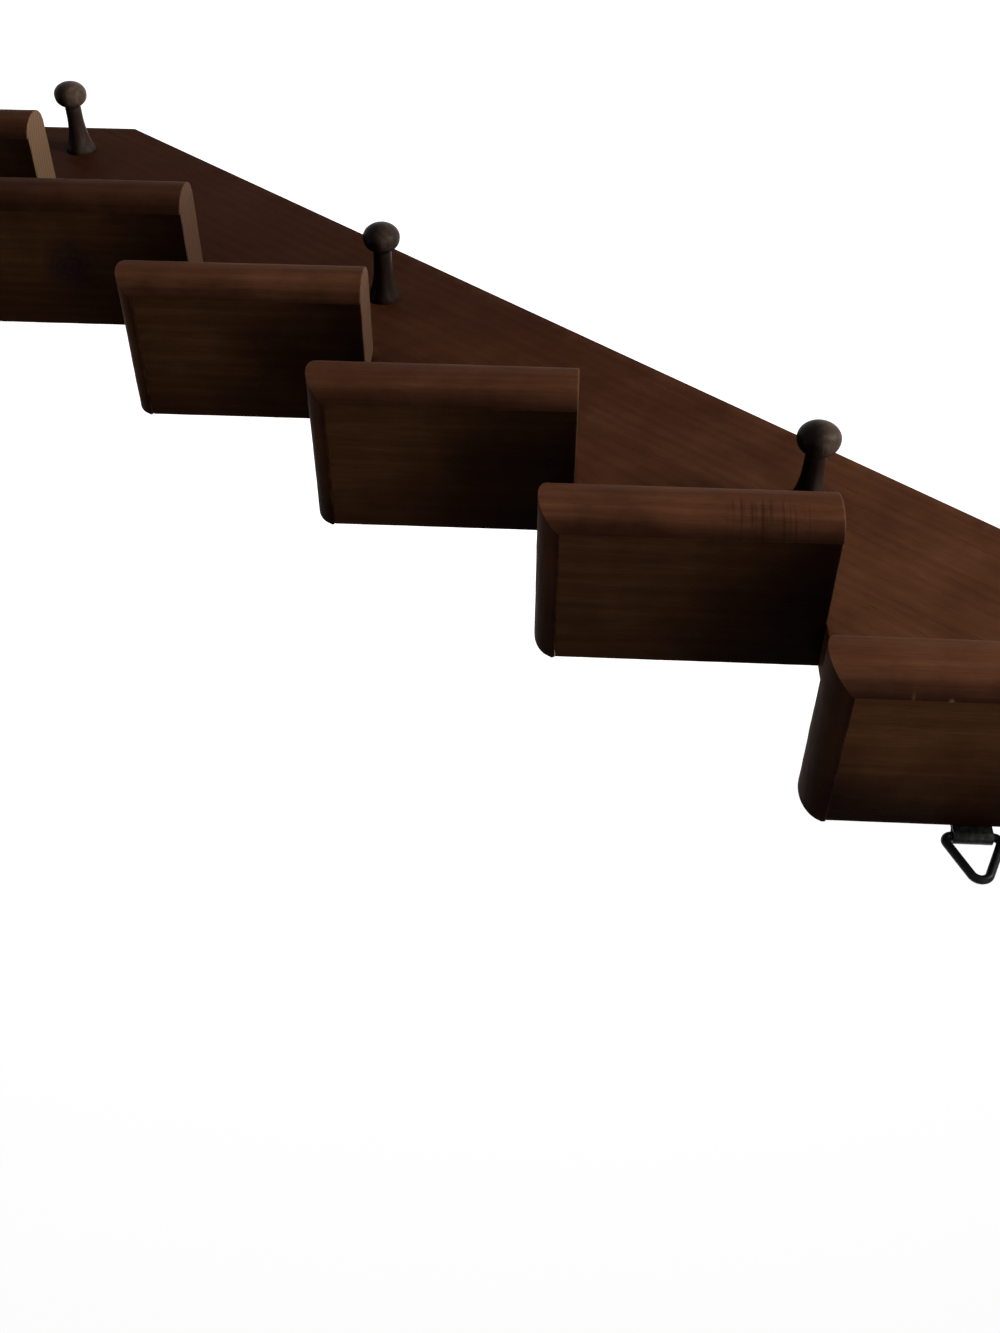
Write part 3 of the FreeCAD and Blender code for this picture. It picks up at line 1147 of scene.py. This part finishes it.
    def painted_shade(self, kind: TreadPiece, step: int) -> list[PaintedShade]:
        """Where a piece is drawn darker, as painted shade.

        Args:
            kind: Kind of piece.
            step: Step of the tread.

        Returns:
            The painted shade.
        """
        s = self.stair
        inner, top = s.inner(step), s.top(step)
        # A front strip: a darker band along its top where it meets the panel, painted shade with some dirt
        if kind is TreadPiece.FRONT:
            return [PaintedShade(Axis.Z, darkest=top + 1.5, faded=top - 6.0, depth=0.74)]
        # A return strip: painted shade at its seam with the panel and towards the wall
        if kind is TreadPiece.RETURN:
            seam = inner + s.panel_length
            return [PaintedShade(Axis.X, darkest=seam, faded=seam + 3.5, depth=0.85, over=top - 4.0),
                    PaintedShade(Axis.Y, darkest=0.0, faded=-34.0, depth=0.8, over=top - 6.0)]
        # The top panel: painted shade towards the wall
        if step == s.steps:
            return [PaintedShade(Axis.Y, darkest=0.0, faded=-44.0, depth=0.97, over=top - 1.5)]
        # Other panels: painted shadow of the tread above at the inner end, and painted shade towards the
        # wall
        return [PaintedShade(Axis.X, darkest=inner, faded=inner + 60.0, depth=0.85, over=top - 1.5),
                PaintedShade(Axis.Y, darkest=0.0, faded=-30.0, depth=0.5, over=top - 1.5)]

    def dress(self, kind: TreadPiece, step: int, piece: Object) -> None:
        """Drills, wears and stains one piece and enlists it.

        Args:
            kind: Kind of piece.
            step: Step of the tread.
            piece: The piece.
        """
        look = kind.value
        if kind is TreadPiece.PANEL:
            self.drill(piece, step)
        roughen(piece, self.swell_width, look.swell)
        mark_wear(piece)
        marks = list(TREAD_MARKS.get(piece.name, ()))
        # The inner end face: end grain, drawn pale as a painted highlight
        if kind is not TreadPiece.RETURN:
            marks.append(Mark(MarkKind.END, (0.0, 0.0, 0.0), reach=self.end_reach, tone=END_TONES[step - 1],
                              ring_mm=self.end_ring))
        corner = (self.stair.inner(step), 0.0, self.stair.seat(step))
        shift = tuple(start + step * more for start, more in zip(self.figure_start, self.figure_step))
        finish = look.finish.material(
            f"{look.finish.name}_{look.name}_{step}", look.grain, shift,
            [mark.moved(corner) for mark in marks], self.painted_shade(kind, step), look.tones[step - 1])
        enlist(piece, f"{look.node}_{step}", finish)


@dataclass
class Peg:
    """Turned peg with a flared base, a waisted neck and an oblate head."""

    face: float  # Y of the board's face, in millimetres
    length: float = 33.4  # Height over the board
    head: float = 7.75  # Radius of the head
    head_height: float = 10.4
    neck: float = 3.8  # Radius of the neck
    neck_straight: float = 1.6  # Length of the neck under the head
    base: float = 7.2  # Radius of the base
    base_rim: float = 0.8  # Height of the base's rim
    # Inset and height of the points that ease the base's edge
    base_easing: tuple[tuple[float, float], ...] = ((0.3, 0.0), (0.05, 0.12), (0.0, 0.35))
    tenon: float = 3.2  # Radius of the tenon
    tenon_length: float = 11.5
    tenon_chamfer: float = 0.7
    flare_share: float = 0.3  # Share of the neck over which the base flares
    belly_share: float = 0.46  # Height of the belly, as a share of the head
    quarter_share: float = 0.552  # Handle of a quarter round, as a share of its radius
    bend_points: int = 16  # Points of a bend
    turns: int = 56  # Points round the peg
    swell: float = 0.14  # Unevenness of the turned face
    swell_width: float = 5.0  # Width of that unevenness
    dark_half: float = 3.0  # Half the width over which the painted shade of the side turned from the light passes into the lit side
    # Heights over the board between which the painted shade of the neck and base under the head fades out
    neck_dark: tuple[float, float] = (18.0, 27.0)
    tones: Point = (1.6, 0.65, 0.95)  # How much lighter or darker each peg is drawn
    figure_step: Point = (31.0, 0.0, 17.0)  # Shift of the figure from peg to peg

    def profile(self) -> Profile:
        """Draws the turned outline, from the tenon's end to the crown.

        Returns:
            Radius and height of its points.
        """
        low = -self.tenon_length
        head_foot = self.length - self.head_height
        neck_top = head_foot - self.neck_straight
        belly = head_foot + self.belly_share * self.head_height
        flare = self.base_rim + self.flare_share * (neck_top - self.base_rim)
        shoulder = belly + self.quarter_share * (self.length - belly)
        line: Profile = [(0, low), (self.tenon - self.tenon_chamfer, low),
                         (self.tenon, low + self.tenon_chamfer), (self.tenon, 0)]
        line += [(self.base - inset, height) for inset, height in self.base_easing]
        line.append((self.base, self.base_rim))
        sweeps = (
            ((self.neck, flare), (self.neck, neck_top - flare), (self.neck, neck_top)),
            ((self.neck, head_foot), (self.head, head_foot), (self.head, belly)),
            ((self.head, shoulder), (self.quarter_share * self.head, self.length), (0, self.length)),
        )
        for sweep in sweeps:
            bend = interpolate_bezier(Vector(line[-1]), *(Vector(p) for p in sweep), self.bend_points)
            line += [(p.x, p.y) for p in bend[1:]]
        return line

    def build(self, places: Sequence[tuple[float, float]]) -> list[Object]:
        """Turns the first peg and copies it to the other places.

        Args:
            places: X and Z of each peg, in millimetres.

        Returns:
            The pegs.
        """
        x, z = places[0]
        first = start_line("turned_peg_1", [mm(x + r, self.face - h, z) for r, h in self.profile()])
        turn_all(self.turns, mm(x, self.face, z))
        close_up()
        made = [first]
        for number, (other_x, other_z) in enumerate(places[1:], start=2):
            made.append(copy_piece(first, f"turned_peg_{number}", mm(other_x - x, 0, other_z - z)))
        return made

    def dress(self, piece: Object, number: int, x: float) -> None:
        """Wears and stains one peg, paints its shade and enlists it.

        Args:
            piece: The peg.
            number: Its number, from the foot up.
            x: Its place, in millimetres.
        """
        roughen(piece, self.swell_width, self.swell)
        # Painted shade: the side turned from the light, and the neck and base under the head, are drawn
        # darker
        dark, light = (self.face - height for height in self.neck_dark)
        painted_shades = [PaintedShade(Axis.X, darkest=x + self.dark_half, faded=x - self.dark_half, depth=0.95),
                  PaintedShade(Axis.Y, darkest=dark, faded=light, depth=0.6)]
        shift = tuple(number * more for more in self.figure_step)
        finish = PEG_WOOD.material(f"{PEG_WOOD.name}_{number}", Grain.ALONG_DEPTH, shift, painted_shades=painted_shades,
                                   tone=self.tones[number - 1])
        enlist(piece, f"peg_{number}", finish)


@dataclass
class WireRing:
    """Ring bent from wire: a level bar, two tight feet and a rounded tip."""

    hinge: Vector  # Middle of the bar, in millimetres
    wire: float = 1.4  # Radius of the wire
    half_width: float = 9.6  # Half the width over all
    height: float = 19.0  # Height over all
    foot: float = 2.0  # Radius of the wire's middle line round a foot
    tip: float = 3.0  # Radius of that line round the tip
    sides: int = 20  # Points round the wire
    foot_steps: int = 12
    tip_steps: int = 16

    def build(self, name: str) -> Object:
        """Bends the wire, from the middle of the bar round to it again.

        Args:
            name: Name of the piece.

        Returns:
            The ring.
        """
        foot_x = self.half_width - self.wire - self.foot
        tip_z = self.height - 2 * self.wire - self.tip
        right, top, left = mm(foot_x, 0, self.foot), mm(0, 0, tip_z), mm(-foot_x, 0, self.foot)
        side = top - right
        lean = math.asin((self.foot - self.tip) * MM / side.length)
        foot_turn = math.atan2(side.z, side.x) + lean
        tip_turn = 2 * (math.pi - foot_turn)
        straight = side.length * math.cos(lean)
        bends = (
            (right, foot_turn, self.foot_steps, straight),
            (top, tip_turn, self.tip_steps, straight),
            (left, foot_turn, self.foot_steps, foot_x * MM),
        )
        start = self.hinge * MM
        to_object_mode()
        bpy.ops.mesh.primitive_circle_add(
            vertices=self.sides, radius=self.wire * MM, location=start, rotation=(0, math.pi / 2, 0))
        piece = name_piece(name)
        open_mesh(piece)
        extrude_all(mm(foot_x, 0, 0))
        heading = 0.0
        for centre, turn, steps, length in bends:
            bpy.ops.mesh.spin(steps=steps, angle=turn, center=start + centre, axis=(0, 1, 0))
            heading += turn
            way = Vector((math.cos(heading), 0, math.sin(heading)))
            bpy.ops.mesh.extrude_region_move(TRANSFORM_OT_translate={"value": way * length})
        close_up(smooth_degrees=60)
        apply(piece, "SUBSURF", levels=1, render_levels=1)
        return piece


@dataclass
class FoldedStrap:
    """Strap of sheet steel, folded double round the wire of the ring."""

    hinge: Vector  # Middle of the fold, in millimetres
    screw_z: float  # Height of the screw
    sheet: float
    bore: float  # Inner radius of the fold
    width: float = 12.0
    tail: float = 5.4  # Length under the screw
    corner: float = 3.0  # Rounding of the lower corners
    play: float = 0.04  # How much thinner the sheet is drawn, so that its two layers show a seam
    fold_degrees: float = 278.0  # Turn of the fold
    fold_steps: int = 20
    # How far the outer layer stands off, and its drop under the fold, where it comes back
    nip: tuple[float, float] = (0.12, 0.55)
    meet_drop: float = 1.3  # Drop under the fold at which the layers meet
    knee_drop: float = 6.0  # Drop under the hinge of the points between fold and tail
    hole: float = 1.7  # Radius of the screw hole
    edge: float = 0.14  # Rounding of the sheet's edges
    edge_steps: int = 2
    edge_degrees: float = 50.0  # Fold from which an edge is rounded
    corner_steps: int = 6

    def section(self) -> Profile:
        """Draws the sheet's middle line, from the inner layer round the fold to the outer one.

        Returns:
            Y and Z of its points.
        """
        hinge_y, hinge_z = self.hinge.y, self.hinge.z
        middle = self.bore + self.sheet / 2
        near, far = self.sheet / 2, self.sheet * 3 / 2
        low, knee, under = self.screw_z - self.tail, hinge_z - self.knee_drop, hinge_z - middle
        line: Profile = [(near, low), (near, knee), (near, hinge_z)]
        for n in range(1, self.fold_steps + 1):
            angle = math.pi - n * math.radians(self.fold_degrees) / self.fold_steps
            line.append((hinge_y + middle * math.cos(angle), hinge_z + middle * math.sin(angle)))
        line += [(far + self.nip[0], under - self.nip[1]), (far, under - self.meet_drop)]
        line += [(far, knee), (far, low)]
        return line

    def build(self, name: str) -> Object:
        """Folds the strap and drills it for its screw.

        Args:
            name: Name of the piece.

        Returns:
            The strap.
        """
        x = self.hinge.x
        low = (self.screw_z - self.tail) * MM
        piece = start_line(name, [mm(x - self.width / 2, y, z) for y, z in self.section()])
        extrude_all(mm(self.width, 0, 0))
        bpy.ops.mesh.select_mode(type="VERT")
        pick_verts(lambda place: place.z < low + NEAR)
        bpy.ops.mesh.bevel(offset=self.corner * MM, segments=self.corner_steps, affect="VERTICES")
        merge_doubles()
        apply(piece, "SOLIDIFY", thickness=(self.sheet - self.play) * MM, offset=0.0)
        through = 2 * self.sheet + OVERRUN
        bore(piece, [((x, -OVERRUN, self.screw_z), (x, through, self.screw_z), self.hole)])
        apply(piece, "BEVEL", width=self.edge * MM, segments=self.edge_steps, limit_method="ANGLE",
              angle_limit=math.radians(self.edge_degrees))
        open_mesh(piece)
        close_up(smooth_degrees=30)
        mark_wear(piece)
        return piece


@dataclass
class PanScrew:
    """Pan head screw with a cross recess."""

    x: float
    z: float
    seat: float  # Y of the face under its head
    shank: float = 1.5  # Radius of the shank
    length: float = 12.0  # Length under the head
    point: float = 2.4  # Length of the point
    head: float = 2.8  # Radius of the head
    head_edge: float = 0.14  # Chamfer under the head's rim
    head_rim: float = 1.2  # Height of the rim
    crown: float = 0.7  # Height of the crown over the rim
    crown_steps: int = 8
    recess_span: float = 3.2  # Length of a slot of the recess
    recess_width: float = 0.7  # Width of a slot
    punch: float = 2.0  # Height of the punch, whose middle lies on the crown's top
    turns: int = 40  # Points round the screw

    def profile(self) -> Profile:
        """Draws the turned outline, from the point to the crown's middle.

        Returns:
            Radius and Y of its points.
        """
        tip = self.seat - self.length
        line: Profile = [(0, tip), (self.shank, tip + self.point), (self.shank, self.seat),
                         (self.head - self.head_edge, self.seat), (self.head, self.seat + self.head_edge)]
        for n in range(self.crown_steps + 1):
            angle = n * math.pi / 2 / self.crown_steps
            line.append((self.head * math.cos(angle),
                         self.seat + self.head_rim + self.crown * math.sin(angle)))
        return line

    def build(self, name: str) -> Object:
        """Turns the screw and presses its recess.

        Args:
            name: Name of the piece.

        Returns:
            The screw.
        """
        piece = start_line(name, [mm(self.x + r, y, self.z) for r, y in self.profile()])
        turn_all(self.turns, mm(self.x, 0, self.z))
        close_up(smooth_degrees=30)
        middle = mm(self.x, self.seat + self.head_rim + self.crown, self.z)
        span, width = self.recess_span, self.recess_width
        for slot in (mm(span, self.punch, width), mm(width, self.punch, span)):
            cut_away(piece, add_block("punch", middle, slot))
        open_mesh(piece)
        close_up(smooth_degrees=30)
        return piece


@dataclass
class Hanger:
    """Ring, strap and screw on the back edge of a tread."""

    stair: Stair
    step: int
    sheet: float = 0.9
    bore: float = 1.48  # Inner radius of the strap's fold
    hinge_rise: float = 2.0  # Height of the hinge over the tread

    @property
    def x(self) -> float:
        """Middle of the hanger."""
        return self.stair.inner(self.step) + self.stair.panel_length / 2

    @property
    def screw_z(self) -> float:
        """Height of the screw, half way up the panel."""
        return self.stair.seat(self.step) + self.stair.tread_thickness / 2

    @property
    def hinge(self) -> Vector:
        """Middle of the strap's fold."""
        return Vector((self.x, self.bore + self.sheet, self.stair.top(self.step) + self.hinge_rise))

    def build(self, end: str, steel: Material) -> None:
        """Makes, blackens and enlists the three pieces.

        Args:
            end: End of the stair, as the nodes call it.
            steel: Finish of the pieces.
        """
        ring = WireRing(self.hinge).build(f"{end}_wire_ring")
        enlist(ring, f"{end}_hanger_ring", steel, f"{end}_ring")
        strap = FoldedStrap(self.hinge, self.screw_z, self.sheet, self.bore).build(f"{end}_folded_strap")
        enlist(strap, f"{end}_hanger_strap", steel)
        screw = PanScrew(self.x, self.screw_z, 2 * self.sheet).build(f"{end}_pan_screw")
        enlist(screw, "hanger_screws", steel)


@dataclass
class Shelf:
    """The whole shelf."""

    stair: Stair = field(default_factory=Stair)

    def build(self) -> None:
        """Makes and dresses every piece."""
        board = Board(self.stair)
        board.dress(board.build())
        tread = Tread(self.stair)
        for kind, pieces in tread.build().items():
            for step, piece in enumerate(pieces, start=1):
                tread.dress(kind, step, piece)
        peg = Peg(-self.stair.board)
        places = self.stair.peg_places()
        for number, (piece, (x, _)) in enumerate(zip(peg.build(places), places), start=1):
            peg.dress(piece, number, x)
        steel = STEEL.material()
        for step, end in ((1, "lower"), (self.stair.steps, "upper")):
            Hanger(self.stair, step).build(end, steel)
        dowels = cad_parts["tread_dowels"]
        dowels.data.materials.clear()
        dowels.data.materials.append(DOWEL_WOOD.material(DOWEL_WOOD.name, Grain.ALONG_DEPTH))
        log.info("tread_dowels keeps its solids, in bare beech")


# Studio

@dataclass(frozen=True)
class Lamp:
    """Square soft light that faces the shelf."""

    name: str
    way: Point  # Its place from the middle of the shelf, in metres
    size: float  # Its width, in metres
    watts: float


@dataclass
class Studio:
    """Pale floor, soft light and the camera of the photograph."""

    # One light beside the stair's upper end, one over that end and a broad one behind
    lamps: tuple[Lamp, ...] = (
        Lamp("key", way=(-0.85, -0.5, 0.1), size=0.35, watts=9.2),
        Lamp("fill", way=(-0.8, -0.4, 1.2), size=0.5, watts=8.0),
        Lamp("back", way=(-0.25, 1.5, -0.1), size=1.2, watts=12.0),
    )
    ambient: float = 0.1  # Strength of the world as light
    white: str = "#fdfdfd"
    paper: str = "#e9e9e9"
    glow: float = 0.9  # Light that the eye sees in the floor besides
    drop: float = 0.9  # Floor under the lowest point, in metres
    floor_size: float = 14.0  # Width of the floor, in metres
    image: tuple[int, int] = (1000, 1333)  # Width and height of the photograph, in pixels
    focal_pixels: float = 1453.36  # Focal length in those pixels
    sensor: float = 36.0  # Width of the sensor, in millimetres
    clip: float = 0.01  # Nearest distance that the camera sees, in metres
    pitch: float = 0.770  # Camera's tilt from straight down to the wall, in radians like yaw and roll
    yaw: float = -0.048
    roll: float = 0.003
    eye: Point = (-23.86, -338.94, 511.89)  # Camera's place in millimetres

    def camera(self) -> None:
        """Sets the camera where the photograph was taken."""
        p, y, r = self.pitch, self.yaw, self.roll
        ahead = Vector((-math.sin(y) * math.cos(p), math.sin(p), -math.cos(y) * math.cos(p)))
        level = Vector((-math.cos(y), 0, math.sin(y)))
        upright = level.cross(ahead)
        right = math.cos(r) * level + math.sin(r) * upright
        up = math.cos(r) * upright - math.sin(r) * level
        lens = bpy.data.cameras.new("camera")
        lens.sensor_width = self.sensor
        lens.lens = self.sensor * self.focal_pixels / max(self.image)
        lens.clip_start = self.clip
        eye = bpy.data.objects.new("camera", lens)
        bpy.context.collection.objects.link(eye)
        turn = Matrix((right, up, -ahead)).transposed().to_4x4()
        eye.matrix_world = Matrix.Translation(mm(*self.eye)) @ turn
        bpy.context.scene.camera = eye

    def lights(self) -> None:
        """Hangs the lamps and lights the world, which is white to the eye and dim as a light."""
        to_object_mode()
        centre = sum(CAD_BOX, Vector()) / 2
        for lamp in self.lamps:
            way = Vector(lamp.way)
            bpy.ops.object.light_add(type="AREA", location=centre + way)
            made = bpy.context.object
            made.name = lamp.name
            made.data.size = lamp.size
            made.data.energy = lamp.watts
            made.rotation_euler = way.to_track_quat("Z", "Y").to_euler()
        world = bpy.data.worlds.new("studio")
        world.use_nodes = True
        world.node_tree.nodes.clear()
        bpy.context.scene.world = world
        node = partial(add, world.node_tree)
        strength = node("MapRange", {0: self.seen(node), 1: 0.0, 2: 1.0, 3: self.ambient, 4: 1.0})
        sky = node("Background", {"Color": linear(self.white), "Strength": strength})
        node("OutputWorld", {"Surface": sky})

    @staticmethod
    def seen(node: AddNode) -> Socket:
        """Tells what the eye sees straight, in a mirror or through glass from plain light.

        Args:
            node: Function that adds nodes.

        Returns:
            One for what is seen, nought for light.
        """
        path = node("LightPath").node.outputs
        seen = node("Math", {0: path["Is Camera Ray"], 1: path["Is Glossy Ray"]}, operation="MAXIMUM")
        return node("Math", {0: seen, 1: path["Is Transmission Ray"]}, operation="MAXIMUM")

    def floor(self) -> None:
        """Lays the pale floor well under the shelf, as under a shelf that hangs on a wall."""
        to_object_mode()
        bpy.ops.mesh.primitive_plane_add(size=self.floor_size, location=(0, 0, CAD_BOX[0].z - self.drop))
        floor = name_piece("floor")
        # Matt white paper: its own shadow stays, and the eye sees it near white
        made, node = start_finish("matt_paper")
        paper = node("BsdfDiffuse", {"Color": linear(self.paper)})
        lift = node("Math", {0: self.seen(node), 1: self.glow}, operation="MULTIPLY")
        glow = node("Emission", {"Color": linear(self.white), "Strength": lift})
        node("OutputMaterial", {"Surface": node("AddShader", {0: paper, 1: glow})})
        floor.data.materials.append(made)


def main() -> None:
    """Builds the shelf and the studio."""
    logging.basicConfig(level=logging.INFO, format="%(name)s: %(message)s")
    bpy.context.scene.view_settings.view_transform = "Standard"
    Shelf().build()
    studio = Studio()
    studio.camera()
    studio.lights()
    studio.floor()


if __name__ == "__main__":
    main()
